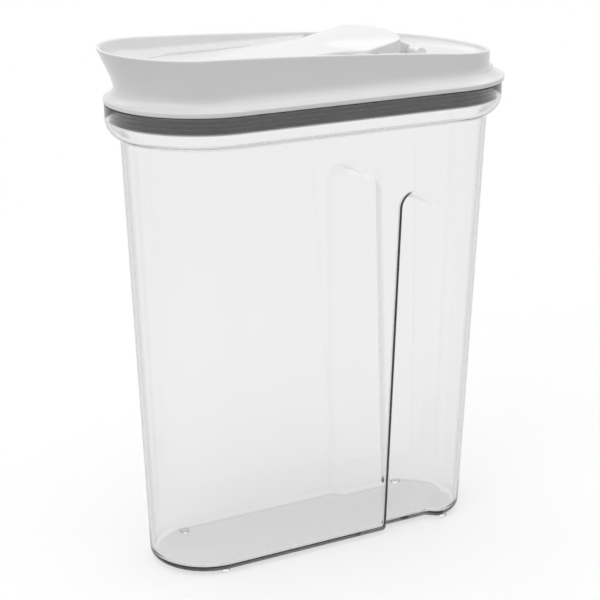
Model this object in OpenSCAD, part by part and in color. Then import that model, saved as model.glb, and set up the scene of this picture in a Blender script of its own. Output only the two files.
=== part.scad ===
// Cereal container with a flip spout: a clear tapered body, a push-fit lid with a ribbed
// seal, and a hinged door that closes the pour opening.
// X runs along the container from the spout (-X) to the hand grip (+X). Z is up, z = 0 is
// the bench under the four feet. All sizes are in millimetres.

/* [Container] */
// Distance from the middle to the centre of each rounded end
end_centre = 72; // [60:0.5:90]
// Half width of the container at its base
base_half_width = 34.4; // [30:0.1:38]
// Half width of the container under the shoulder
top_half_width = 44.7; // [40:0.1:50]
// Height of the base above the bench
base_height = 1.6; // [1:0.1:3]
// Height at which the tapered wall ends and the shoulder begins
wall_top = 252.8; // [200:0.1:300]
// Thickness of the clear wall
body_wall = 2.2; // [1.6:0.1:2.8]
// Thickness of the floor
floor_thickness = 3; // [2:0.1:5]
// Radius of the edge around the base
base_edge_radius = 4.5; // [3:0.1:6]

/* [Collar] */
// How far the collar around the mouth stands out past the tapered wall
collar_step = 8.8; // [6:0.1:12]
// Radius of the rounded shoulder
shoulder_radius = 27.5; // [20:0.5:30]
// Height of the straight collar above the shoulder
collar_height = 6.6; // [6:0.1:12]
// Radius of the hollow corner under the shoulder
shoulder_corner_radius = 3; // [1:0.1:5]

/* [Hand grip] */
// Position of the grip's step
grip_start = 37; // [20:0.5:45]
// Position at which the grip's floor starts to rise
grip_floor_end = 65; // [56:0.5:65]
// Position at which the grip's floor is back at the wall
grip_end = 69.7; // [68:0.1:69.7]
// Depth of the grip
grip_depth = 6; // [2:0.1:8]
// Height of the grip's top
grip_top = 222; // [120:0.5:235]
// Radius of both corners at the grip's top
grip_arch_radius = 10; // [4:0.5:14]

/* [Feet] */
// Radius of each foot
foot_radius = 3.2; // [2:0.1:4]
// Position of the feet at the spout end
foot_front = 74; // [50:0.5:80]
// Position of the feet at the grip end
foot_back = 82; // [60:0.5:84]
// Distance of each foot from the middle line
foot_side = 28; // [18:0.1:29]

/* [Lid] */
// Height from the container's rim to the lid's underside
rim_gap = 0.3; // [0.1:0.05:0.5]
// How far the lid's flange stands out past the collar
flange_overhang = 0.4; // [0:0.1:2]
// How much farther the flange reaches at the grip end
flange_tab = 1.2; // [0:0.1:6]
// Thickness of the flange at its edge
flange_edge = 2.7; // [1.5:0.1:4]
// Radius of the hollow curve from the flange up to the lid's wall
cove_radius = 8.5; // [7:0.1:11]
// How far the lid's wall stands in from the flange's edge
wall_step = 6.7; // [5:0.1:8]
// Thickness of the lid's wall
lid_wall = 2.2; // [1.6:0.1:3]
// Centre of the lid's rounded end over the grip
lid_back_centre = 70.2; // [60:0.1:76]
// Centre of the spout's lip
lip_centre = 90.4; // [80:0.1:100]
// Reach of the spout's lip past that centre
lip_reach = 39.6; // [34:0.1:46]
// Lean of the spout, as run over rise
spout_lean = 0.495; // [0.2:0.005:0.7]
// Height of the lid's rim above its underside, halfway along
rim_rise = 26.6; // [24:0.1:32]
// Fall of the rim towards the grip, in mm for each mm along X
rim_fall = 0.0614; // [0.02:0.0002:0.07]
// Bend of the rim, in mm for each square mm
rim_bend = 0.000158; // [0:0.000001:0.0002]
// Height of the deck around the door above the lid's underside
deck_rise = 22.7; // [20:0.1:25]
// Thickness of the deck
deck_thickness = 2.4; // [1.6:0.1:3]
// Position at which the deck ends and the well begins
well_start = 50; // [46:0.1:52]
// Depth of the well below the deck
well_depth = 10.6; // [8:0.1:12]
// Radius of the well's rounded foot
well_radius = 11; // [4:0.1:14]

/* [Door] */
// Half width of the door
door_half_width = 25; // [23:0.1:27]
// Position of the centre of the door's rounded front
door_front_centre = 79; // [74:0.1:82]
// Position of the door's back face
door_back = 50; // [48:0.1:51]
// Radius of that face seen from above
door_back_radius = 74; // [60:1:120]
// Gap around the door
door_gap = 0.6; // [0.4:0.05:1]
// Depth of the door's seat below the deck
seat_depth = 2.5; // [2:0.1:4]
// Thickness of the door at its front
door_front_thickness = 1.7; // [1.4:0.1:2.4]
// Position at which the thumb rest begins to rise
rest_start = 10; // [6:0.5:14]
// Thickness of the door where the thumb rest begins
rest_foot_thickness = 4.1; // [3:0.1:5]
// Rise of the thumb rest from there to its back
rest_rise = 6.9; // [5:0.1:10]
// Length over which the flat top falls away beside the thumb rest
rest_blend = 10; // [6:0.5:14]
// Radius of the thumb rest's shoulders
rest_shoulder_radius = 5; // [2:0.1:6]
// Thickness of the door's wall
door_wall = 2.2; // [1.6:0.1:3]
// Half width of the finger wells beside the thumb rest
finger_half_width = 36; // [32:0.5:40]
// Position at which the finger wells begin
finger_start = 24; // [22:0.5:30]
// Depth of the finger wells below the deck
finger_depth = 6.1; // [4:0.1:7]

/* [Hinge] */
// Position of the hinge's axis
hinge_x = 60; // [59:0.1:62]
// Depth of the hinge's axis below the deck
hinge_depth = 3.6; // [3.4:0.1:4.4]
// Radius of the hinge bar on the lid
hinge_bar_radius = 3.2; // [2.8:0.1:3.6]
// Radius of the pivot studs
stud_radius = 1.6; // [1.2:0.05:2]
// Radial gap between a stud and its hole
stud_clearance = 0.06; // [0.02:0.01:0.1]
// Length of each stud
stud_length = 4.6; // [3:0.1:6]
// Thickness of the door's hinge arms
arm_thickness = 2.8; // [2:0.1:4]
// Gap between the hinge bar and each arm
arm_gap = 0.4; // [0.2:0.05:1]

/* [Pour opening] */
// Half width of the pour opening
pour_half_width = 20; // [16:0.1:21]
// Centre of the opening's rounded front
pour_front_centre = 76; // [70:0.1:78]
// Centre of the opening's rounded back
pour_back_centre = -4; // [-30:0.5:-3]
// Length of the chute under the opening
chute_length = 12; // [9:0.1:14]
// Thickness of the chute's wall
chute_wall = 2; // [1.4:0.1:2.6]
// Gap between the door's plug and the opening
plug_gap = 1.6; // [1.2:0.1:2.2]
// Depth of the door's plug below the door
plug_depth = 6.8; // [5:0.1:8]
// Height of the door's seal
door_seal_height = 2.8; // [1.6:0.1:3.4]
// Gap between the door's seal and the opening
door_seal_gap = 0.25; // [0.2:0.01:0.3]
// Depth of the groove for the door's seal
door_groove = 1.4; // [1:0.1:1.6]

/* [Liner and seal] */
// Thickness of the lip under the seal
lip_thickness = 1; // [0.8:0.1:2]
// Room for the seal between the liner's wall and the mouth
seal_room = 3.7; // [3:0.1:5]
// Thickness of the liner's wall
liner_wall = 2.4; // [1.6:0.1:3]
// Thickness of the liner's floor
liner_floor = 2; // [1.6:0.1:3]
// Gap between the mouth and the lip that holds the seal
lip_gap = 1.7; // [1.3:0.1:2.2]
// Distance from that lip's top to the container's rim
seal_drop = 9.2; // [9:0.1:10]
// Height of the seal
seal_height = 8.3; // [6:0.1:9]
// Thickness of the seal behind its ribs
seal_back = 2.2; // [1.4:0.1:2.4]
// Gap between the seal's ribs and the collar
seal_gap = 0.15; // [0.05:0.01:0.3]
// Number of ribs around the seal
seal_ribs = 4; // [2:1:4]
// Height of each rib
rib_height = 1.1; // [0.8:0.1:1.2]

/* [Hidden] */
$fn = 96;
over = 1;                // how far a cutter passes the face that it opens
seat = 0.2;              // gap left between two fixed pieces that seat on each other
reach = 60;              // half length of a cutter that crosses the whole width
margin = 8;              // height of lid stock above the spout's lip, cut away by the rim
lead = 4;                // how far the thumb rest runs before the flat top beside it falls away
root = 8;                // length over which each hinge arm is joined to the door
skirt_lift = 4;          // how far the lid's skirt stops above the liner's foot
blend = 0.1;             // how far the flange's hollow curve runs inside the wall above it

taper = (top_half_width - base_half_width) / (wall_top - base_height);
taper_angle = atan(taper);
wall_across = body_wall / cos(taper_angle);
collar_half_width = top_half_width + collar_step;
mouth_half_width = collar_half_width - body_wall;
shoulder_centre = collar_half_width - shoulder_radius;
shoulder_height = sqrt(pow(shoulder_radius, 2) - pow(top_half_width - shoulder_centre, 2));
shoulder_top = wall_top + shoulder_height;
rim_top = shoulder_top + collar_height;
corner_x = top_half_width + shoulder_corner_radius;
corner_z = shoulder_top - sqrt(pow(shoulder_radius + shoulder_corner_radius, 2)
                               - pow(corner_x - shoulder_centre, 2));

lid_base = rim_top + rim_gap;
flange_half_width = collar_half_width + flange_overhang;
lid_half_width = flange_half_width - wall_step;
cove_top = lid_base + flange_edge
           + sqrt(pow(cove_radius, 2) - pow(cove_radius - blend - wall_step, 2));
plate_top = lid_base + flange_edge - 0.3;
rim_height = lid_base + rim_rise;
spout_tip = lip_centre + lip_reach;
lip_height = rim_height + rim_fall * spout_tip - rim_bend * pow(spout_tip, 2);
lid_top = lip_height + margin;
deck_height = lid_base + deck_rise;
well_floor = deck_height - well_depth;
finger_floor = deck_height - finger_depth;
ledge_height = deck_height - seat_depth;

door_underside = ledge_height + 0.3;
rest_foot_height = door_underside + rest_foot_thickness;
rest_height = rest_foot_height + rest_rise;
rest_angle = atan(rest_rise / (door_back - rest_start));
flat_slope = atan((rest_foot_thickness - door_front_thickness)
                  / (door_front_centre + door_half_width + rest_start));
hinge_z = deck_height - hinge_depth;
arm_inner = door_half_width - arm_thickness;
arm_foot = door_back - root;
bar_half_length = arm_inner - arm_gap;

plug_half_width = pour_half_width - plug_gap;
plug_base = door_underside - plug_depth;
door_seal_base = plug_base + (plug_depth - door_seal_height) / 2 - 0.4;
chute_base = ledge_height - chute_length;
liner_half_width = mouth_half_width - seal_room;
liner_lip = mouth_half_width - lip_gap;
groove_base = rim_top - seal_drop;
liner_base = groove_base - lip_thickness;
seal_base = groove_base + seat;
skirt_half_width = liner_half_width - liner_wall - seat;
skirt_inner = skirt_half_width - lid_wall;
skirt_base = liner_base + skirt_lift;
// The model is set so that its box is centred over the origin.
shift_x = (spout_tip - end_centre - flange_tab - flange_half_width) / 2;

function rim_z(x) = rim_height - rim_fall * x - rim_bend * x * x;
function spout_x(z) = -lip_centre + (lip_height - z) * spout_lean;
function wall_r(z) = base_half_width + (z - base_height) * taper;

// Sweeps a half profile, drawn as distance from the middle and height, around a long
// rounded plan whose ends are centred at -front and at back.
module around(front, back) {
    translate([back, 0, 0]) rotate([0, 0, -90]) rotate_extrude(angle = 180) children();
    translate([-front, 0, 0]) rotate([0, 0, 90]) rotate_extrude(angle = 180) children();
    translate([-front, 0, 0]) rotate([90, 0, 90]) linear_extrude(front + back) {
        children();
        mirror([1, 0]) children();
    }
}

// A solid with a long rounded plan, between two heights.
module slab(front, back, half_width, low, high) {
    around(front, back) translate([0, low]) square([half_width, high - low]);
}

// The piece between a right-angled corner and a rounding of it, to add or take away.
module corner(x, z, r, side_x, side_z) {
    difference() {
        translate([side_x > 0 ? x : x - r, side_z > 0 ? z : z - r]) square(r);
        translate([x + side_x * r, z + side_z * r]) circle(r);
    }
}

// Half profile of the body's outside.
module body_outline() {
    edge_z = base_height + base_edge_radius;
    edge_x = wall_r(edge_z) - base_edge_radius / cos(taper_angle);
    foot_x = edge_x + base_edge_radius * cos(taper_angle);
    foot_z = edge_z - base_edge_radius * sin(taper_angle);
    polygon([[0, base_height], [edge_x, base_height], [edge_x, edge_z], [foot_x, foot_z],
             [top_half_width, wall_top], [0, wall_top]]);
    translate([edge_x, edge_z]) circle(base_edge_radius);
    translate([0, wall_top - over]) square([shoulder_centre, shoulder_height + over]);
    intersection() {
        translate([shoulder_centre, shoulder_top]) circle(shoulder_radius);
        translate([0, wall_top - over]) square([collar_half_width + over, shoulder_height + over]);
    }
    difference() {
        polygon([[top_half_width - over, corner_z], [corner_x, corner_z],
                 [shoulder_centre, shoulder_top]]);
        translate([corner_x, corner_z]) circle(shoulder_corner_radius);
    }
    difference() {
        translate([0, shoulder_top - over]) square([collar_half_width, collar_height + over]);
        corner(collar_half_width, rim_top, 0.8, -1, -1);
    }
}

// Half profile of the space inside the body.
module space_outline() {
    inner_edge = base_edge_radius - 1;
    edge_z = base_height + floor_thickness + inner_edge;
    edge_x = wall_r(edge_z) - wall_across - inner_edge / cos(taper_angle);
    foot_x = edge_x + inner_edge * cos(taper_angle);
    foot_z = edge_z - inner_edge * sin(taper_angle);
    polygon([[0, base_height + floor_thickness], [edge_x, base_height + floor_thickness],
             [edge_x, edge_z], [foot_x, foot_z],
             [top_half_width - wall_across, wall_top], [0, wall_top]]);
    translate([edge_x, edge_z]) circle(inner_edge);
    translate([0, wall_top - over]) square([shoulder_centre, shoulder_height + over]);
    intersection() {
        translate([shoulder_centre, shoulder_top]) circle(shoulder_radius - body_wall);
        translate([0, wall_top - over]) square([collar_half_width, shoulder_height + over]);
    }
    translate([0, shoulder_top - over]) square([mouth_half_width, collar_height + 2 * over]);
}

// The cutter of one hand grip, in the slope of the wall, grown by the given wall.
module grip(grow) {
    top = (grip_top + grow - base_height) / cos(taper_angle);
    left = grip_start - grow;
    right = grip_end + grow;
    translate([0, -base_half_width, base_height]) rotate([taper_angle, 0, 0]) intersection() {
        translate([0, 0, -reach]) linear_extrude(top + reach)
            polygon([[left, -reach], [left, grip_depth + grow],
                     [grip_floor_end + grow / 2, grip_depth + grow],
                     [right, grow], [right, -reach]]);
        rotate([90, 0, 0]) linear_extrude(2 * reach, center = true) difference() {
            translate([left, -reach]) square([right - left, top + reach]);
            corner(left, top, grip_arch_radius + grow, 1, -1);
            corner(right, top, grip_arch_radius + grow, -1, -1);
        }
    }
}

module foot(x, y) {
    translate([x, y, 0]) rotate_extrude() difference() {
        square([foot_radius, base_height + floor_thickness]);
        corner(foot_radius, 0, 1, -1, 1);
    }
}

module container_body() {
    color([0.93, 0.95, 0.96, 0.35]) difference() {
        union() {
            difference() {
                around(end_centre, end_centre) body_outline();
                grip(0);
                mirror([0, 1, 0]) grip(0);
            }
            foot(-foot_front, foot_side);
            foot(-foot_front, -foot_side);
            foot(foot_back, foot_side);
            foot(foot_back, -foot_side);
        }
        difference() {
            around(end_centre, end_centre) space_outline();
            grip(body_wall);
            mirror([0, 1, 0]) grip(body_wall);
        }
    }
}

// The lid's upright wall as a solid, its faces moved in by the given inset. The spout's end
// is an oval that leans outwards as it rises.
module lid_form(inset, low, high) {
    half = lid_half_width - inset;
    rotate([90, 0, 0]) linear_extrude(2 * half, center = true)
        polygon([[spout_x(low), low], [lid_back_centre, low], [lid_back_centre, high],
                 [spout_x(high), high]]);
    translate([lid_back_centre, 0, low]) cylinder(h = high - low, r = half);
    multmatrix([[1, 0, -spout_lean, spout_x(low)], [0, 1, 0, 0], [0, 0, 1, low]])
        scale([(lip_reach - inset) / half, 1, 1]) cylinder(h = high - low, r = half);
}

// Everything under the lid's sloping rim.
module under_rim() {
    far = 140;
    steps = 14;
    rotate([90, 0, 0]) linear_extrude(2 * reach, center = true)
        polygon(concat([[far, lid_base], [-far, lid_base]],
                       [for (i = [0:steps]) let (x = -far + 2 * far * i / steps) [x, rim_z(x)]]));
}

module flange_outline() {
    difference() {
        translate([0, lid_base]) square([flange_half_width, cove_top - lid_base]);
        translate([lid_half_width - blend + cove_radius, cove_top]) circle(cove_radius);
        corner(flange_half_width, lid_base, 0.8, -1, 1);
    }
}

// The well behind the door: a flat floor with a rounded foot all around its back.
module well() {
    half = lid_half_width - lid_wall;
    intersection() {
        around(0, lid_back_centre) difference() {
            translate([0, well_floor]) square([half, lid_top - well_floor]);
            corner(half, well_floor, well_radius, -1, 1);
        }
        translate([well_start, -reach, 0]) cube([2 * reach, 2 * reach, lid_top]);
    }
}

// The door's plan: a round front and a gently bowed back.
module door_plan() {
    translate([-door_front_centre, 0]) circle(door_half_width);
    translate([-door_front_centre, -door_half_width])
        square([door_front_centre + over, 2 * door_half_width]);
    intersection() {
        translate([0, -door_half_width]) square([door_back, 2 * door_half_width]);
        translate([door_back - door_back_radius, 0]) circle(door_back_radius);
    }
}

// The seat of the door: a shallow tray sunk in the deck, grown by the given wall.
module door_tray(grow, low) {
    wide = door_half_width + door_gap + grow;
    intersection() {
        around(door_front_centre, well_start) translate([0, low])
            square([wide, deck_height + over - low]);
        translate([-2 * reach - well_start, -reach, 0])
            cube([2 * reach + 2 * well_start, 2 * reach, deck_height]);
    }
}

module finger_well(grow) {
    low = finger_floor - grow;
    wide = finger_half_width + grow;
    translate([finger_start - grow, -wide, low])
        cube([well_start + over - finger_start + grow, 2 * wide, deck_height - low]);
}

module hinge_bar() {
    difference() {
        union() {
            translate([hinge_x, 0, hinge_z]) rotate([90, 0, 0])
                cylinder(h = 2 * bar_half_length, r = hinge_bar_radius, center = true);
            translate([hinge_x - hinge_bar_radius + 0.8, -bar_half_length, well_floor - over])
                cube([2 * hinge_bar_radius - 1.6, 2 * bar_half_length, hinge_z - well_floor + over]);
        }
        for (side = [-1, 1])
            translate([hinge_x, side * bar_half_length, hinge_z]) rotate([90, 0, 0])
                cylinder(h = 2 * (stud_length + over), r = stud_radius + stud_clearance, center = true);
    }
}

module lid_shell() {
    color([0.96, 0.96, 0.96]) {
        difference() {
            union() {
                difference() {
                    union() {
                        around(end_centre, end_centre + flange_tab) flange_outline();
                        intersection() {
                            lid_form(0, cove_top - 4, lid_top);
                            under_rim();
                        }
                    }
                    intersection() {
                        lid_form(lid_wall, deck_height, lid_top + over);
                        translate([-3 * reach, -reach, 0])
                            cube([3 * reach + well_start, 2 * reach, 2 * lid_top]);
                    }
                    well();
                    // The hollow under the deck, and the shallower one under the well.
                    intersection() {
                        lid_form(lid_wall + 0.2, plate_top, deck_height - deck_thickness);
                        translate([-3 * reach, -reach, 0])
                            cube([3 * reach + well_start - lid_wall, 2 * reach, lid_top]);
                    }
                    slab(end_centre, end_centre, skirt_inner, lid_base - over, well_floor - lid_wall);
                }
                door_tray(lid_wall, ledge_height - lid_wall);
                finger_well(lid_wall);
                slab(pour_front_centre, pour_back_centre, pour_half_width + chute_wall,
                     chute_base, ledge_height);
                difference() {
                    slab(end_centre, end_centre, skirt_half_width, skirt_base, plate_top);
                    slab(end_centre, end_centre, skirt_inner, liner_base, lid_top);
                }
            }
            door_tray(0, ledge_height);
            finger_well(0);
            translate([door_back - 2, -door_half_width - door_gap, ledge_height])
                cube([4, 2 * (door_half_width + door_gap), deck_height]);
            slab(pour_front_centre, pour_back_centre, pour_half_width, liner_base, lid_top);
        }
        hinge_bar();
    }
}

module lid_liner() {
    chute_top = chute_base - seat;
    color([0.9, 0.91, 0.92]) difference() {
        union() {
            around(end_centre, end_centre) difference() {
                polygon([[0, liner_base], [liner_lip - lip_thickness / 2, liner_base],
                         [liner_lip, liner_base + lip_thickness / 2],
                         [liner_lip, groove_base], [liner_half_width, groove_base],
                         [liner_half_width, lid_base - seat], [0, lid_base - seat]]);
                translate([0, liner_base + liner_floor])
                    square([liner_half_width - liner_wall, seal_drop + over]);
            }
            slab(pour_front_centre, pour_back_centre, pour_half_width + chute_wall,
                 liner_base, chute_top);
        }
        slab(pour_front_centre, pour_back_centre, pour_half_width, liner_base - over, chute_top + over);
    }
}

module lid_seal() {
    inner = liner_half_width + 0.1;
    pitch = (seal_height - rib_height) / (seal_ribs - 1);
    color([0.25, 0.26, 0.28]) difference() {
        around(end_centre, end_centre) {
            translate([0, seal_base]) square([inner + seal_back, seal_height]);
            for (i = [0:seal_ribs - 1])
                translate([0, seal_base + i * pitch])
                    square([mouth_half_width - seal_gap, rib_height]);
        }
        slab(end_centre, end_centre, inner, seal_base - over, seal_base + seal_height + over);
    }
}

// A bar along X with rounded upper shoulders, its top face at z = 0.
module shoulder_bar(from_x, to_x, r) {
    translate([from_x, 0, 0]) rotate([90, 0, 90]) linear_extrude(to_x - from_x) difference() {
        translate([-door_half_width, -reach]) square([2 * door_half_width, reach]);
        corner(door_half_width, 0, r, -1, -1);
        corner(-door_half_width, 0, r, 1, -1);
    }
}

module door_form() {
    rest_lead = rest_start + lead;
    blend_end = rest_lead + rest_blend;
    intersection() {
        translate([0, 0, door_underside]) linear_extrude(reach) door_plan();
        union() {
            intersection() {
                translate([rest_start, 0, rest_foot_height]) rotate([0, -flat_slope, 0])
                    shoulder_bar(-3 * reach, reach, 1);
                rotate([90, 0, 0]) linear_extrude(2 * reach, center = true)
                    polygon([[-3 * reach, 0], [-3 * reach, 2 * rest_height],
                             [rest_lead, 2 * rest_height], [rest_lead, rest_foot_height],
                             [blend_end, door_underside], [blend_end, 0]]);
            }
            translate([rest_start, 0, rest_foot_height]) rotate([0, -rest_angle, 0])
                shoulder_bar(-door_gap, reach, rest_shoulder_radius);
        }
    }
}

module hinge_arm() {
    boss = hinge_bar_radius + 0.2;
    translate([0, arm_inner, 0]) rotate([90, 0, 0]) mirror([0, 0, 1])
        linear_extrude(arm_thickness) {
            translate([hinge_x, hinge_z]) circle(boss);
            polygon([[arm_foot, door_underside], [arm_foot, rest_height - rest_shoulder_radius - 1.2],
                     [door_back - 3, rest_height - rest_shoulder_radius - 0.6],
                     [hinge_x + boss * sin(24), hinge_z + boss * cos(24)],
                     [hinge_x - boss * sin(24), hinge_z - boss * cos(24)]]);
        }
    translate([hinge_x, arm_inner + over / 2, hinge_z]) rotate([90, 0, 0])
        cylinder(h = stud_length + over / 2, r = stud_radius);
}

module flip_door() {
    inner_rise = door_wall / cos(rest_angle);
    inner_foot = rest_start + lead;
    inner_back = door_back - door_wall - 1.2;
    tilt = tan(rest_angle);
    color([0.97, 0.97, 0.97]) {
        difference() {
            door_form();
            rotate([90, 0, 0]) linear_extrude(2 * (door_half_width - door_wall - 2.6), center = true)
                polygon([[inner_foot, door_underside - over],
                         [inner_foot, rest_foot_height - inner_rise + 4 * tilt],
                         [inner_back - 4, rest_foot_height - inner_rise
                                          + (inner_back - 4 - rest_start) * tilt],
                         [inner_back - 4, door_underside - over]]);
        }
        hinge_arm();
        mirror([0, 1, 0]) hinge_arm();
    }
}

module door_liner() {
    color([0.93, 0.93, 0.94]) difference() {
        slab(pour_front_centre, pour_back_centre, plug_half_width, plug_base, door_underside - seat);
        slab(pour_front_centre, pour_back_centre, plug_half_width - door_groove - 2,
             plug_base + 2, door_underside + over);
        difference() {
            slab(pour_front_centre, pour_back_centre, plug_half_width + over,
                 door_seal_base, door_seal_base + door_seal_height);
            slab(pour_front_centre, pour_back_centre, plug_half_width - door_groove,
                 door_seal_base - over, door_seal_base + door_seal_height + over);
        }
    }
}

module door_seal() {
    low = door_seal_base + 0.15;
    high = door_seal_base + door_seal_height - 0.15;
    color([0.25, 0.26, 0.28]) difference() {
        around(pour_front_centre, pour_back_centre)
            polygon([[0, low], [plug_half_width + 0.3, low],
                     [pour_half_width - door_seal_gap, (low + high) / 2],
                     [plug_half_width + 0.3, high], [0, high]]);
        slab(pour_front_centre, pour_back_centre, plug_half_width - door_groove + 0.1,
             low - over, high + over);
    }
}

translate([shift_x, 0, 0]) container_body();
translate([shift_x, 0, 0]) lid_shell();
translate([shift_x, 0, 0]) lid_liner();
translate([shift_x, 0, 0]) lid_seal();
translate([shift_x, 0, 0]) flip_door();
translate([shift_x, 0, 0]) door_liner();
translate([shift_x, 0, 0]) door_seal();
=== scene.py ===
"""Cereal container with a flip spout: a clear tapered container, a white lid with a spout,
a hinged door with a thumb rest, and dark ribbed seals."""

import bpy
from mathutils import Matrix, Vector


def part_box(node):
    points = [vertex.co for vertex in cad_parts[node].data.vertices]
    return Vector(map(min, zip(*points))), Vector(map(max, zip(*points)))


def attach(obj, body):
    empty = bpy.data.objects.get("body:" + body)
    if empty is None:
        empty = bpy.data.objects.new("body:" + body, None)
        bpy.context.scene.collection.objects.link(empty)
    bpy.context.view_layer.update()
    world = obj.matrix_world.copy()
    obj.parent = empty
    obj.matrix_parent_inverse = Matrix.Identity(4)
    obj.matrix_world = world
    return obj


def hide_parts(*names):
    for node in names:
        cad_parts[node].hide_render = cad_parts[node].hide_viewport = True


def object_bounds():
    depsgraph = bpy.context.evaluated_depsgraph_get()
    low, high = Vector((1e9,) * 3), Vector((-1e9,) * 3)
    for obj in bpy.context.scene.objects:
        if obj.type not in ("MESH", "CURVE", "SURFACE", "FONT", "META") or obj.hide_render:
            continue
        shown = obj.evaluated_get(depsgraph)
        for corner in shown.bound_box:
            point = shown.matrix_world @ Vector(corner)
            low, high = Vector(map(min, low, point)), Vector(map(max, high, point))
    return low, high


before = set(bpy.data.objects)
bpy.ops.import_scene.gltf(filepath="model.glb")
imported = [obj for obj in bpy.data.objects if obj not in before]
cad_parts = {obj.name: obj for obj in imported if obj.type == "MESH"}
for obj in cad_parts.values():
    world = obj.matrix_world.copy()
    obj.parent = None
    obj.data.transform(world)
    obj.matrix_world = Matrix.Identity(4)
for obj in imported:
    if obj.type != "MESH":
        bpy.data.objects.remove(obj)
cad_box = [list(corner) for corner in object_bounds()]

import math

import bpy
import numpy as np
from bpy.props import FloatProperty, FloatVectorProperty, IntProperty, PointerProperty

bl_info = {
    "name": "Cereal container",
    "version": (1, 0, 0),
    "blender": (4, 5, 0),
    "location": "View3D > Sidebar > Container",
    "description": "Builds the clear container, its lid, its flip door, the seals and the stage",
    "category": "Object",
}

BODY_LOW, BODY_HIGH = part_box("container_body")
LID_LOW, LID_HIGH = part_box("lid_shell")
LINER_LOW, LINER_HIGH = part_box("lid_liner")
SEAL_LOW, SEAL_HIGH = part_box("lid_seal")
CAD_TOP = cad_box[1][2]
# The container's own middle along X: its two rounded ends stand evenly about it.
MIDDLE = (BODY_LOW.x + BODY_HIGH.x) / 2
# Distance from the middle to the centre of each rounded end.
END_CENTRE = 0.072


# ---------------------------------------------------------------- surfaces

def smooth(t):
    """3t^2 - 2t^3 with t held between 0 and 1: an S-curve from 0 to 1."""
    t = np.clip(t, 0.0, 1.0)
    return t * t * (3.0 - 2.0 * t)


def soft_max(a, b, k):
    """The larger of a and b, plus (k - |a - b|)^2 / 4k where they are closer than k."""
    mix = np.maximum(k - np.abs(a - b), 0) / k
    return np.maximum(a, b) + mix * mix * k / 4


def arc(centre, radius, start, end, steps):
    """Points on a circle: centre + radius (cos a, sin a), with a from start to end in degrees."""
    a = np.radians(np.linspace(start, end, steps))
    return np.stack([centre[0] + radius * np.cos(a), centre[1] + radius * np.sin(a)], -1)


def rounded(corners, radii, steps, closed=False):
    """Straight runs between corners, each corner replaced by the arc that touches both runs.
    The arc's centre lies on the bisector, radius / sin(half angle) from the corner."""
    p = np.asarray(corners, float)
    n = len(p)
    parts = []
    for i in range(n):
        if not closed and i in (0, n - 1):
            parts.append(p[i:i + 1])
            continue
        a, b, c = p[i - 1], p[i], p[(i + 1) % n]
        u = (a - b) / np.linalg.norm(a - b)
        v = (c - b) / np.linalg.norm(c - b)
        half = math.acos(max(-1.0, min(1.0, float(u @ v)))) / 2
        if radii[i] <= 0 or half > math.pi / 2 - 1e-4:
            parts.append(p[i:i + 1])
            continue
        middle = (u + v) / np.linalg.norm(u + v)
        centre = b + middle * radii[i] / math.sin(half)
        first = b + u * radii[i] / math.tan(half) - centre
        last = b + v * radii[i] / math.tan(half) - centre
        t = np.linspace(0, 1, steps)[:, None]
        angle = math.pi - 2 * half
        turn = (np.sin((1 - t) * angle) * first + np.sin(t * angle) * last) / math.sin(angle)
        parts.append(centre + turn)
    return np.concatenate(parts)


def ladder(low, high, count):
    """Evenly spaced values from low to high, both ends left out."""
    return np.linspace(low, high, count + 2)[1:-1]


def loop_columns(side, end_steps):
    """Columns around a long rounded plan, counter-clockwise from above: the turn of each column
    about its end, and its place along the straight sides, 0 at the front and 1 at the back."""
    side = np.asarray(side, float)
    back = np.linspace(-90, 90, end_steps + 1)
    front = np.linspace(90, 270, end_steps + 1)
    turn = np.concatenate([back, np.full(len(side), 90.0), front, np.full(len(side), 270.0)])
    along = np.concatenate([np.ones(len(back)), side[::-1], np.zeros(len(front)), side])
    turn = np.radians(turn)
    c, s = np.cos(turn), np.sin(turn)
    c[np.abs(c) < 1e-9] = 0.0
    s[np.abs(s) < 1e-9] = 0.0
    return c, s, along


def plan(columns, front, front_reach, back, back_reach, half, power=2.0, back_power=2.0):
    """A ring: straight sides at plus and minus half from front to back, and two ends where
    |x / reach|^p + |y / half|^p = 1, each point lying on its own ray from the end's centre."""
    c, s, along = columns
    p = np.where(c < 0, power, back_power)
    size = (np.abs(c) ** p + np.abs(s) ** p) ** (-1.0 / p)
    x = front + (back - front) * along + np.where(c < 0, front_reach, back_reach) * c * size
    return x, half * s * size + 0 * x


def grid_faces(rows, cols, close_rows=False):
    """Quads of a grid whose columns close on themselves, with outward sides for rows that climb."""
    r = np.arange(rows if close_rows else rows - 1)[:, None]
    c = np.arange(cols)[None, :]
    up, on = (r + 1) % rows, (c + 1) % cols
    return np.stack([r * cols + c, r * cols + on, up * cols + on, up * cols + c], -1).reshape(-1, 4)


def stack(x, y, z):
    """Rings of x, y and z as one (rows, columns, 3) grid."""
    x, y, z = np.broadcast_arrays(x, y, z)
    return np.stack([x, y, z], -1)


# Points closer than this are one point.
SAME_POINT = 2e-7


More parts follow.
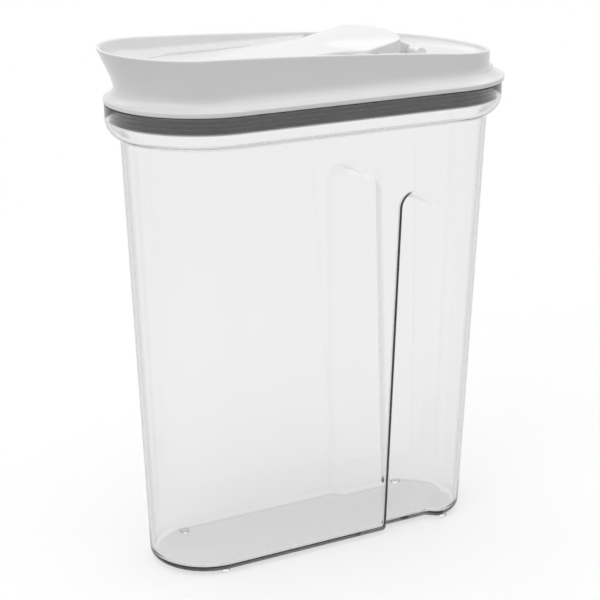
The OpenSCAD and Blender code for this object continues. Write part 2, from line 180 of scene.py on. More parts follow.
def add_piece(name, grids, body, finish, replaces=()):
    """One mesh from closed grids. Points that fall together are made one, so a ring that has
    shrunk to a line or a point closes, and quads that lose a side become triangles."""
    points, faces, start = [], [], 0
    for grid, close_rows in grids:
        rows, cols = grid.shape[:2]
        points.append(grid.reshape(-1, 3))
        faces.append(grid_faces(rows, cols, close_rows) + start)
        start += rows * cols
    points = np.concatenate(points)
    faces = np.concatenate(faces)
    keys = np.round(points / SAME_POINT).astype(np.int64)
    _, first, same = np.unique(keys, axis=0, return_index=True, return_inverse=True)
    points = points[first]
    faces = same.reshape(-1)[faces]
    repeat = faces == np.roll(faces, -1, axis=1)
    crossed = (faces[:, 0] == faces[:, 2]) | (faces[:, 1] == faces[:, 3])
    quads = faces[(repeat.sum(1) == 0) & ~crossed]
    thin = (repeat.sum(1) == 1) & ~crossed
    keep = np.argsort(repeat[thin], axis=1, kind="stable")[:, :3]
    keep.sort(axis=1)
    triangles = np.take_along_axis(faces[thin], keep, axis=1)
    mesh = bpy.data.meshes.new(name)
    mesh.from_pydata(points.tolist(), [], quads.tolist() + triangles.tolist())
    mesh.validate()
    mesh.shade_smooth()
    mesh.materials.append(finish)
    obj = bpy.data.objects.new(name, mesh)
    bpy.context.scene.collection.objects.link(obj)
    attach(obj, body)
    if replaces:
        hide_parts(*replaces)


# ---------------------------------------------------------------- sizes

def length(name, description, default, low=0.0):
    """A size in metres."""
    return FloatProperty(name=name, description=description, default=default, min=low, max=0.5,
                         precision=5, subtype="DISTANCE", unit="LENGTH")


def colour(name, description, default):
    """A colour of three parts."""
    return FloatVectorProperty(name=name, description=description, default=default, size=3,
                               min=0.0, max=1.0, subtype="COLOR")


def factor(name, description, default):
    """A plain ratio."""
    return FloatProperty(name=name, description=description, default=default, min=0.0, max=1.0,
                         precision=4, subtype="FACTOR")


class ContainerSizes(bpy.types.PropertyGroup):
    """Sizes of the clear container"""
    end_centre: length("End centre", "Distance from the middle to each rounded end's centre",
                       END_CENTRE)
    base_half: length("Base half width", "Half width where the wall meets the bench line", 0.0344)
    top_half: length("Top half width", "Half width of the wall under the shoulder", 0.0450)
    base: length("Base height", "Height of the base above the bench", 0.0016)
    wall_top: length("Wall top", "Height where the wall ends and the shoulder begins", 0.2600)
    wall: length("Wall", "Thickness of the clear wall", 0.0022)
    floor: length("Floor", "Thickness of the floor", 0.003)
    edge: length("Base edge", "Radius of the edge around the base", 0.0045)
    collar_half: length("Collar half width", "Half width of the collar around the mouth",
                        round((BODY_HIGH.y - BODY_LOW.y) / 2, 5))
    shoulder: length("Shoulder", "Radius of the rounded shoulder", 0.0115)
    rim_top: length("Rim height", "Height of the container's rim", round(BODY_HIGH.z, 5))
    collar: length("Collar height", "Height of the straight collar above the shoulder", 0.0085)
    grip_start: length("Grip step", "Position of the hand grip's step at the bench", 0.035)
    grip_step: length("Step run", "Run of the sloping step", 0.005)
    grip_turn: length("Grip turn", "Position at the bench where the grip's floor starts to rise",
                      0.0698)
    grip_end: length("Grip end", "Position at the bench where the grip is back at the wall",
                     0.0794)
    grip_lean: factor("Grip lean", "Lean of both sides towards each other, as run over rise",
                      0.0118)
    grip_fade: length("Grip fade", "Height over which the grip's top runs out", 0.018)
    grip_depth: length("Grip depth", "Depth of the hand grip", 0.006)
    grip_top: length("Grip top", "Height of the hand grip's top", 0.222)
    grip_arch: length("Grip arch", "Radius of the arch at the grip's top", 0.010)
    foot: length("Foot radius", "Radius of each foot", 0.0032)


class LidSizes(bpy.types.PropertyGroup):
    """Sizes of the lid, its spout, deck, well and pour opening"""
    base: length("Underside", "Height of the lid's underside", round(BODY_HIGH.z + 0.0003, 5))
    edge: length("Flange edge", "Thickness of the flange at its edge", 0.0027)
    flange_half: length("Flange half width", "Half width of the flange",
                        round((LID_HIGH.y - LID_LOW.y) / 2, 5))
    tab: length("Flange tab", "How much farther the flange reaches over the grip", 0.0012)
    cove: length("Cove", "Radius of the hollow curve from the flange to the wall", 0.0085)
    half: length("Wall half width", "Half width of the lid's wall", 0.0472)
    wall: length("Wall", "Thickness of the lid's wall", 0.0022)
    back: length("Back centre", "Centre of the rounded end over the grip", 0.0702)
    lip_centre: length("Lip centre", "Centre of the spout's lip", 0.0904)
    lip_reach: length("Lip reach", "Reach of the lip past its centre", 0.0396)
    lean: factor("Lean", "Lean of the spout, as run over rise", 0.495)
    rim: length("Rim height", "Height of the rim halfway along", 0.30646)
    fall: factor("Rim fall", "Fall of the rim towards the grip", 0.0614)
    bend: FloatProperty(name="Rim bend", description="Bend of the rim, per metre", default=0.158)
    deck: length("Deck height", "Height of the deck around the door", 0.30256)
    well: length("Well depth", "Depth of the well behind the door", 0.0106)
    well_round: length("Well round", "Radius of the well's rounded foot", 0.011)
    tray_half: length("Tray half width", "Half width of the door's seat", 0.0254)
    ledge: length("Ledge height", "Height of the door's seat", 0.30006)
    pour_half: length("Pour half width", "Half width of the pour opening", 0.020)
    pour_front: length("Pour front", "Centre of the opening's front end", 0.076)
    pour_back: length("Pour back", "Centre of the opening's back end", -0.004, low=-0.1)
    chute: length("Chute length", "Length of the chute under the opening", 0.012)


class DoorSizes(bpy.types.PropertyGroup):
    """Sizes of the flip door, its thumb rest and its hinge"""
    half: length("Half width", "Half width of the door", 0.025)
    front: length("Front centre", "Centre of the door's rounded front", 0.079)
    back: length("Back", "Position of the door's back face", 0.050)
    bow: length("Back bow", "Radius of the back face seen from above", 0.073)
    underside: length("Underside", "Height of the door's underside", 0.30036)
    front_thick: length("Front thickness", "Thickness of the door at its front", 0.0017)
    foot_thick: length("Foot thickness", "Thickness at its edges where the thumb rest begins",
                       0.0043)
    rest_half: length("Rest half width", "Half width of the thumb rest", 0.033)
    rest_edge: length("Rest edge", "Height of the thumb rest's side edge at its front", 0.3050)
    rest_slope: factor("Rest slope", "Slope of the thumb rest's side edge", 0.205)
    crown: length("Crown", "Rise of the door's middle over its edges beside the thumb rest",
                  0.0010)
    hinge_x: length("Hinge position", "Position of the hinge's axis", 0.060)
    hinge_z: length("Hinge height", "Height of the hinge's axis", 0.29896)
    bar: length("Bar radius", "Radius of the hinge bar", 0.0037)
    bar_half: length("Bar half length", "Distance from the middle to each end of the hinge bar",
                     0.0265)
    eye: length("Eye radius", "Radius of each hinge arm around the axis", 0.0034)
    arm: length("Arm thickness", "Thickness of each hinge arm", 0.0028)
    arm_place: length("Arm position", "Distance from the middle to each hinge arm", 0.0122)


class SealSizes(bpy.types.PropertyGroup):
    """Sizes of the ribbed seal"""
    half: length("Half width", "Half width at the tips of the ribs",
                 round((SEAL_HIGH.y - SEAL_LOW.y) / 2, 5))
    depth: length("Depth", "Depth of the seal behind its ribs", 0.0022)
    rib_depth: length("Rib depth", "How far each rib stands out", 0.00135)
    rib: length("Rib height", "Height of each rib", 0.0011)
    ribs: IntProperty(name="Ribs", description="Number of ribs", default=4, min=2, max=5)


class Finishes(bpy.types.PropertyGroup):
    """Colours and gloss of the plastics and the seals"""
    clear: colour("Clear plastic", "Tint of the clear plastic", (0.970, 0.973, 0.976))
    # Painted shade: the edge tint darkens the clear plastic where it is seen edge-on.
    clear_edge_painted_shade: colour("Clear edge", "Tint of the clear plastic seen edge-on", (0.50, 0.51, 0.52))
    clear_depth: FloatProperty(name="Clear depth", default=24.0, min=0.0,
                               description="How strongly the clear plastic darkens, per metre")
    white: colour("White plastic", "Colour of the lid and door", (0.87, 0.87, 0.87))
    liner: colour("Liner plastic", "Colour of the liner under the lid", (0.80, 0.81, 0.82))
    rubber: colour("Seal", "Colour of the ribbed seals", (0.045, 0.047, 0.050))
    gloss: factor("Gloss roughness", "Roughness of the white plastic", 0.18)


class StageSettings(bpy.types.PropertyGroup):
    """Floor, room light, softboxes and lens"""
    floor: colour("Floor", "Colour of the floor", (0.488, 0.488, 0.491))
    lift: FloatProperty(name="Floor lift", description="White added to the floor where it is seen",
                        default=0.55, min=0.0, max=1.0)
    sky_low: FloatProperty(name="Light from the sides", description="Room light near the horizon",
                           default=0.29, min=0.0, max=2.0)
    sky_high: FloatProperty(name="Light from above", description="Room light straight overhead",
                            default=1.5, min=0.0, max=4.0)
    panel: FloatProperty(name="Mirrored softbox", description="Brightness of the softbox in gloss",
                         default=1.8, min=1.0, max=4.0)
    key: FloatProperty(name="Softbox", description="Power of the softbox on the spout's side",
                       default=3.2, min=0.0, unit="POWER")
    lens: FloatProperty(name="Lens", description="Focal length", default=102.8, unit="CAMERA")


# ---------------------------------------------------------------- materials

def new_material(name, colour_value, roughness):
    """A material whose shader has that colour and roughness: itself, its tree and the shader."""
    mat = bpy.data.materials.new(name)
    mat.use_nodes = True
    tree = mat.node_tree
    shader = tree.nodes["Principled BSDF"]
    shader.inputs["Base Color"].default_value = (*colour_value, 1)
    shader.inputs["Roughness"].default_value = roughness
    mat.diffuse_color = (*colour_value, 1)
    return mat, tree, shader


def noise(tree, scale, detail=2.0, rough=0.5, stretch=(1, 1, 1)):
    """A noise on Object coordinates, scaled per metre and stretched along the axes."""
    where = tree.nodes.new("ShaderNodeTexCoord")
    place = tree.nodes.new("ShaderNodeMapping")
    place.inputs["Scale"].default_value = stretch
    tex = tree.nodes.new("ShaderNodeTexNoise")
    tex.inputs["Scale"].default_value = scale
    tex.inputs["Detail"].default_value = detail
    tex.inputs["Roughness"].default_value = rough
    tree.links.new(where.outputs["Object"], place.inputs["Vector"])
    tree.links.new(place.outputs["Vector"], tex.inputs["Vector"])
    return tex.outputs["Fac"]


def calc(tree, operation, *values):
    """One step of arithmetic on numbers and sockets."""
    node = tree.nodes.new("ShaderNodeMath")
    node.operation = operation
    for socket, value in zip(node.inputs, values):
        if isinstance(value, float):
            socket.default_value = value
        else:
            tree.links.new(value, socket)
    return node.outputs[0]


def span(tree, value, low, high, start=0.0, end=1.0, soft=False):
    """Carries start to end onto low to high, in a straight line or, if soft, an S-curve."""
    node = tree.nodes.new("ShaderNodeMapRange")
    if soft:
        node.interpolation_type = "SMOOTHSTEP"
    node.inputs["From Min"].default_value = start
    node.inputs["From Max"].default_value = end
    node.inputs["To Min"].default_value = low
    node.inputs["To Max"].default_value = high
    tree.links.new(value, node.inputs["Value"])
    return node.outputs["Result"]


def bump(tree, shader, height, strength, distance, before=None):
    """Tilts the shader's surface by the slope of the height, on top of an earlier tilt."""
    node = tree.nodes.new("ShaderNodeBump")
    node.inputs["Strength"].default_value = strength
    node.inputs["Distance"].default_value = distance
    tree.links.new(height, node.inputs["Height"])
    if before is not None:
        tree.links.new(before, node.inputs["Normal"])
    tree.links.new(node.outputs["Normal"], shader.inputs["Normal"])
    return node.outputs["Normal"]


def tint(tree, shader, value, low, high, start=0.3, end=0.7):
    """The base colour runs from low to high as the value runs from start to end."""
    node = tree.nodes.new("ShaderNodeValToRGB")
    for stop, place, shade in zip(node.color_ramp.elements, (start, end), (low, high)):
        stop.position = place
        stop.color = (*shade, 1)
    tree.links.new(value, node.inputs["Fac"])
    tree.links.new(node.outputs["Color"], shader.inputs["Base Color"])


def moulded_white(name, base, roughness):
    """Satin moulded plastic: a fine orange peel, faint flow marks and small changes in gloss."""
    mat, tree, shader = new_material(name, base, roughness)
    low = tuple(v * 0.985 for v in base)
    high = tuple(min(1.0, v * 1.01) for v in base)
    tint(tree, shader, noise(tree, scale=18.0, detail=3.0), low, high)
    rough = span(tree, noise(tree, scale=60.0, detail=4.0), roughness * 0.9, roughness * 1.12)
    tree.links.new(rough, shader.inputs["Roughness"])
    shader.inputs["IOR"].default_value = 1.49
    shader.inputs["Specular IOR Level"].default_value = 0.5
    peel = noise(tree, scale=900.0)
    wave = bump(tree, shader, noise(tree, scale=70.0), strength=0.08, distance=0.00015)
    bump(tree, shader, peel, strength=0.05, distance=0.00006, before=wave)
    return mat


def clear_plastic(finish, name):
    """Clear moulded plastic: it bends light, darkens with its own depth, and its faces carry the
    faint unevenness of the mould."""
    mat, tree, shader = new_material(name, tuple(finish.clear), 0.0)
    shader.inputs["Transmission Weight"].default_value = 1.0
    shader.inputs["IOR"].default_value = 1.52
    rough = span(tree, noise(tree, scale=30.0, detail=3.0), 0.0, 0.035)
    tree.links.new(rough, shader.inputs["Roughness"])
    flow = noise(tree, scale=14.0, stretch=(1.0, 1.0, 0.25))
    flow = bump(tree, shader, flow, strength=0.10, distance=0.0004)
    bump(tree, shader, noise(tree, scale=260.0), strength=0.04, distance=0.00003, before=flow)
    # Painted shade: where the wall is seen edge-on, its base colour darkens towards the edge tint,
    # standing in for the dark lines along the wall's edges.
    facing = tree.nodes.new("ShaderNodeLayerWeight")
    facing.inputs["Blend"].default_value = 0.5
    tint(tree, shader, facing.outputs["Facing"], finish.clear, finish.clear_edge_painted_shade,
         start=0.62, end=0.82)
    depth = tree.nodes.new("ShaderNodeVolumeAbsorption")
    depth.inputs["Color"].default_value = (0.06, 0.03, 0.0, 1)
    depth.inputs["Density"].default_value = finish.clear_depth
    tree.links.new(depth.outputs["Volume"], tree.nodes["Material Output"].inputs["Volume"])
    return mat


def seal_rubber(finish, name):
    """Soft grey silicone: matt, with a fine bloom and a trace of dust in the grain."""
    base = tuple(finish.rubber)
    mat, tree, shader = new_material(name, base, 0.5)
    tint(tree, shader, noise(tree, scale=120.0, detail=4.0, rough=0.6),
         tuple(v * 0.85 for v in base), tuple(v * 1.25 for v in base))
    rough = span(tree, noise(tree, scale=300.0, detail=3.0), 0.40, 0.58)
    tree.links.new(rough, shader.inputs["Roughness"])
    bump(tree, shader, noise(tree, scale=1500.0), strength=0.15, distance=0.00005)
    shader.inputs["Sheen Weight"].default_value = 0.12
    shader.inputs["Sheen Roughness"].default_value = 0.5
    return mat


# How each material is made from the finishes.
MAKERS = {
    "white_moulded_plastic": lambda f, name: moulded_white(name, tuple(f.white), f.gloss),
    "white_liner_plastic": lambda f, name: moulded_white(name, tuple(f.liner), 0.34),
    "clear_moulded_plastic": clear_plastic,
    "grey_seal_silicone": seal_rubber,
}


def material(context, name):
    """The material of that name, made on first use."""
    found = bpy.data.materials.get(name)
    return found if found else MAKERS[name](context.scene.container_finishes, name)


# ---------------------------------------------------------------- the clear container

# Distances inward from the grip's outline at which the grid has a line.
STEP_LINES = np.concatenate([[-0.012, -0.008, -0.005, -0.003, -0.0016, -0.0007],
                             np.linspace(0, 0.005, 14),
                             [0.0056, 0.0064, 0.0074, 0.0086, 0.0100, 0.0118, 0.0140, 0.0164,
                              0.0190]])
# Radius of the hollow in which the wall turns into the shoulder.
HOLLOW = 0.005
# Heights at which the base's outer and inner edges have run into the wall.
EDGE_END, HEEL_END = 0.012, 0.015
# Rings on the flat of the base and on the floor.
FLAT_RINGS = 12
# Gap in height between a curve's end and the first ring of the wall.
RING_GAP = 0.001
# How far the inner outline of the grip lies from the outer one, as shares of the wall.
INNER_STEP, INNER_TOP, INNER_ARCH = 0.47, 0.4, 0.6
# How far outside the grip's outline the grid starts to follow its arch, and over what run.
ARCH_START, ARCH_RUN = 0.026, 0.020
# Where the step starts to widen around the arch, past its corner, and over what run.
WIDEN_START, WIDEN_RUN = 0.002, 0.018
# The grid leans with the grip's step. It starts so far before the step and begins to stop so
# far past it, each over a run.
LEAN_BEFORE, LEAN_BEFORE_RUN = 0.030, 0.018
LEAN_PAST, LEAN_PAST_RUN = 0.014, 0.016
# Distance before the grip's turn at which the columns draw together.
REAR_LEAD = 0.006
# Radii of the rim's outer and inner edges, and of a foot's lower and upper edges.
RIM_OUTER, RIM_INNER = 0.0007, 0.0006
FOOT_LOWER, FOOT_UPPER = 0.0009, 0.0002
# Places of the four feet, from the container's middle.
FEET = ((-0.074, 0.028), (-0.074, -0.028), (0.082, 0.028), (0.082, -0.028))


def round_arch(x, z, start, top, radius):
    """Bends the grid near the grip's corner so that its lines follow the arch. A point keeps its
    offset from the outline; its distance s from the offset corner becomes an arc of radius R,
    with the turn 45 degrees (1 - s/R) away from the corner, and R fades out on both sides."""
    a, b = x - start, top - z
    offset = np.minimum(a, b)
    reach = np.maximum(radius - offset, 1e-9) * smooth((offset + ARCH_START) / ARCH_RUN)
    s = np.abs(a - b)
    near = (s < reach) & (offset < radius)
    safe = np.where(near, reach, 1.0)
    turn = np.radians(45.0) * (1.0 - np.where(near, s, 0.0) / safe)
    out = 1.0 - np.where(b > a, np.cos(turn), np.sin(turn))
    down = 1.0 - np.where(b > a, np.sin(turn), np.cos(turn))
    new_x = start + offset + safe * out
    new_z = top - offset - safe * down
    return np.where(near, new_x, x), np.where(near, new_z, z)


class MESH_OT_container_body(bpy.types.Operator):
    """Builds the clear container with its shoulder, collar and two hand grips"""
    bl_idname = "mesh.container_body"
    bl_label = "Build the container"

    def execute(self, context):
        s = context.scene.container_sizes
        slope = (s.top_half - s.base_half) / (s.wall_top - s.base)
        across = s.wall * math.sqrt(1 + slope * slope)
        shoulder_x = s.collar_half - s.shoulder
        shoulder_z = s.rim_top - s.collar
        # The hollow's centre stands outside the wall and touches the shoulder's circle.
        hx = s.top_half + HOLLOW
        hz = shoulder_z - math.sqrt((s.shoulder + HOLLOW) ** 2 - (hx - shoulder_x) ** 2)
        bend = math.degrees(math.atan2(shoulder_z - hz, shoulder_x - hx))

        def wall_at(h):
            """Half width of the outer wall: a straight taper."""
            return s.base_half + (h - s.base) * slope

        def inner_at(h):
            """Half width of the inner wall: the taper, less the wall measured level."""
            return wall_at(h) - across

        def wall_rows(start, end, top):
            """Heights of the wall's rings: even, and close together across the grip's top."""
            middle = np.sort(top - STEP_LINES)
            return np.concatenate([ladder(start, middle[0], 16), middle,
                                   ladder(middle[-1], end, 3)])

        def flat_and_edge(half_at, height, end, radius, steps):
            """From the middle out along a flat, and round its edge into the wall."""
            edge = rounded([(0, height), (half_at(height), height), (half_at(end), end)],
                           [0, radius, 0], steps=steps)
            flat = np.linspace(0, edge[1, 0] - 0.0005, FLAT_RINGS)
            return np.concatenate([np.stack([flat, np.full(FLAT_RINGS, height)], -1), edge[1:-1]])

        # Outside, from the middle of the base up to the rim.
        foot = flat_and_edge(wall_at, s.base, EDGE_END, s.edge, 9)
        wall_end = hz - 0.0006
        rows = wall_rows(foot[-1, 1] + RING_GAP, wall_end, s.grip_top)
        outer = np.stack([wall_at(rows), rows], -1)
        bulge = np.concatenate([arc((hx, hz), HOLLOW, 180, bend, 7),
                                arc((shoulder_x, shoulder_z), s.shoulder, bend - 180, 0, 18)[1:]])
        mouth = s.collar_half - s.wall
        rim = rounded([(s.collar_half, shoulder_z + 0.0004), (s.collar_half, s.rim_top),
                       (mouth, s.rim_top), (mouth, shoulder_z)],
                      [0, RIM_OUTER, RIM_INNER, 0], steps=6)
        rim = np.concatenate([[[s.collar_half, shoulder_z + 0.002]], rim[1:]])
        # Inside, from the rim down to the middle of the floor.
        bowl = np.concatenate([arc((shoulder_x, shoulder_z), s.shoulder - s.wall, 0, bend - 180,
                                   18)[1:],
                               arc((hx, hz), HOLLOW + s.wall, bend, 180, 7)[1:]])
        heel = flat_and_edge(inner_at, s.base + s.floor, HEEL_END, s.edge - 0.001, 8)
        rows = wall_rows(heel[-1, 1] + RING_GAP, wall_end, s.grip_top + INNER_TOP * s.wall)
        inner = np.stack([inner_at(rows), rows], -1)

        def side_of(start):
            """Columns of the straight side: close together across the grip's step, and along
            its rear side."""
            middle = start + STEP_LINES
            rear = s.grip_turn - REAR_LEAD
            places = np.concatenate([ladder(-s.end_centre, middle[0], 12), middle,
                                     ladder(middle[-1], rear, 8), ladder(rear, s.end_centre, 9)])
            return (places + s.end_centre) / (2 * s.end_centre)

        def sheet(profile, wall_mask, start, top, arch, half_of, edge_half):
            """The rings of one side of the shell, with the grips pressed in along Y by depth times
            an S-curve of the offset from the outline. The S-curve is steep along the step and
            widens around the arch to a gentle run-out at the top; another leads back to the wall.
            Both of the grip's sides lean by lean times height."""
            columns = loop_columns(side_of(start), 72)
            w, h = profile[:, :1], profile[:, 1:2]
            flat_x, y = plan(columns, -s.end_centre, w, s.end_centre, w, w)
            x, h = flat_x, h + 0 * flat_x
            side = np.sign(columns[1]) * np.ones_like(x)
            straight = (np.abs(columns[0]) < 1e-9) & wall_mask[:, None]
            bent_x, bent_h = round_arch(x, h, start, top, arch)
            x = np.where(straight, bent_x, x)
            h = np.where(straight, bent_h, h)
            y = np.where(straight, side * half_of(h), y)
            a, b = flat_x - start, top - profile[:, 1:2] + 0 * x
            share = smooth((a - b - WIDEN_START) / WIDEN_RUN)
            width = s.grip_step + (s.grip_fade - s.grip_step) * share
            depth = s.grip_depth * smooth(np.minimum(a, b) / width)
            turn = s.grip_turn + (s.grip_start - start) * 0.5 - s.grip_lean * h
            depth = depth * (1 - smooth((x - turn) / (s.grip_end - s.grip_turn)))
            depth = depth * np.minimum(1.0, w / edge_half) * np.abs(columns[1])
            near_step = (smooth((a + LEAN_BEFORE) / LEAN_BEFORE_RUN)
                         * (1 - smooth((a - LEAN_PAST) / LEAN_PAST_RUN)))
            return stack(x + s.grip_lean * h * near_step + MIDDLE, y - side * depth, h)

        def marked(parts, wall_part):
            """The parts of a profile as one, and a mark on each point of the wall's part."""
            return np.concatenate(parts), np.concatenate(
                [np.full(len(part), i == wall_part) for i, part in enumerate(parts)])

        outside = sheet(*marked([foot, outer, bulge, rim], 1), s.grip_start, s.grip_top,
                        s.grip_arch, wall_at, foot[FLAT_RINGS, 0])
        # The wall keeps its thickness along the sloping step, so the inner step starts earlier.
        inside = sheet(*marked([bowl, inner[::-1], heel[::-1]], 1),
                       s.grip_start - INNER_STEP * s.wall, s.grip_top + INNER_TOP * s.wall,
                       s.grip_arch + INNER_ARCH * s.wall, inner_at, heel[FLAT_RINGS, 0])
        clear = material(context, "clear_moulded_plastic")
        add_piece("container", [(np.concatenate([outside, inside]), False)], "container",
                  clear, ["container_body"])
        # Four feet: low rounded studs that stand under the base.
        top = s.base - 0.00003
        rings = rounded([(0, 0), (s.foot, 0), (s.foot, top), (0, top)],
                        [0, FOOT_LOWER, FOOT_UPPER, 0], steps=5)
        turn = np.radians(np.arange(36) * 10.0)
        feet = [(stack(MIDDLE + x + rings[:, :1] * np.cos(turn), y + rings[:, :1] * np.sin(turn),
                       rings[:, 1:2]), False) for x, y in FEET]
        add_piece("container_feet", feet, "container", clear)
        return {"FINISHED"}


# ---------------------------------------------------------------- the lid

# Thickness of white plastic under the deck and around the door's seat.
SKIN = 0.0026
# Half width at which the flange's underside begins, inside the container's rim.
SKIRT = 0.0465
# Height above the flange up to which the rings are level.
LEVEL_END = 0.0105
# Height over which the spout's tip blends from the cove into its lean.
LIP_BLEND = 0.0045
# How much fuller than a circle the spout's corners are.
FULLER = 0.08
# Radius of the lid's inner wall at its foot on the deck. It grows to the well's radius from
# WIDE_START on, and by TIP_ROUND under the spout's tip, which begins at TIP_START.
FOOT_ROUND = 0.0016
WIDE_START, TIP_START, TIP_ROUND, WIDE_RUN = 0.030, 0.085, 0.004, 0.03
# Depth of the finger wells beside the thumb rest, where they begin and the run of their edge.
FINGER_DEPTH, FINGER_START, FINGER_RUN = 0.0061, 0.0215, 0.004
# Where the well behind the door begins, and the run of its edge.
WELL_START, WELL_RUN = 0.046, 0.009
# The door seat's back end: its centre, how far it reaches, and how square its corners are.
SEAT_BACK, SEAT_REACH, SEAT_POWER = 0.018, 0.006, 12.0
# Height at which the hidden underside turns down to the flange.
UNDER_TURN = 0.2885
# Height of the foot of the hinge bar's block, inside the well's floor.
BAR_FOOT = 0.2915


def rim_height(s, x):
    """Height of the lid's rim: level in the middle, falling towards the grip and bent."""
    own = x - MIDDLE
    return s.rim - s.fall * own - s.bend * own * own


def lid_ring(s, columns, h, inset):
    """The lid's plan at height h. The cove is a quarter circle from the flange to the wall; the
    spout's end is the larger of the cove's reach and a line that leans out, blended smoothly."""
    bottom = s.base + s.edge
    centre_w = s.half - 0.0001 + s.cove
    cove_top = bottom + math.sqrt(s.cove ** 2 - (centre_w - s.flange_half) ** 2)
    lift = np.clip(cove_top - h, 0, cove_top - bottom)
    w = centre_w - np.sqrt(np.maximum(s.cove ** 2 - lift ** 2, 0))
    share = smooth((h - bottom) / (cove_top + 0.003 - bottom))
    lip_top = rim_height(s, MIDDLE - s.lip_centre - s.lip_reach)
    lean_centre = s.lip_centre - (lip_top - h) * s.lean
    tip = soft_max(END_CENTRE + w, lean_centre + s.lip_reach, LIP_BLEND)
    front = END_CENTRE + (lean_centre - END_CENTRE) * share
    over_grip = END_CENTRE + s.tab
    back = over_grip + (s.back - over_grip) * smooth((h - bottom) / (cove_top - bottom))
    power = 2.0 - FULLER * share
    x, y = plan(columns, -front, tip - front - inset, back, w - inset, w - inset, power)
    return x + MIDDLE, y


def deck_height(s, x):
    """The floor inside the lid's wall: the deck, sunk into finger wells beside the thumb rest and
    into a well behind the door, each through an S-curve."""
    own = x - MIDDLE
    finger = FINGER_DEPTH * smooth((own - FINGER_START) / FINGER_RUN)
    return s.deck - np.maximum(finger, s.well * smooth((own - WELL_START) / WELL_RUN))


def pour_mouth(s, columns, grow):
    """The plan of the pour opening, grown outwards: a long slot with round ends."""
    half = s.pour_half + grow
    x, y = plan(columns, -s.pour_front, half, -s.pour_back, half, half)
    return x + MIDDLE, y


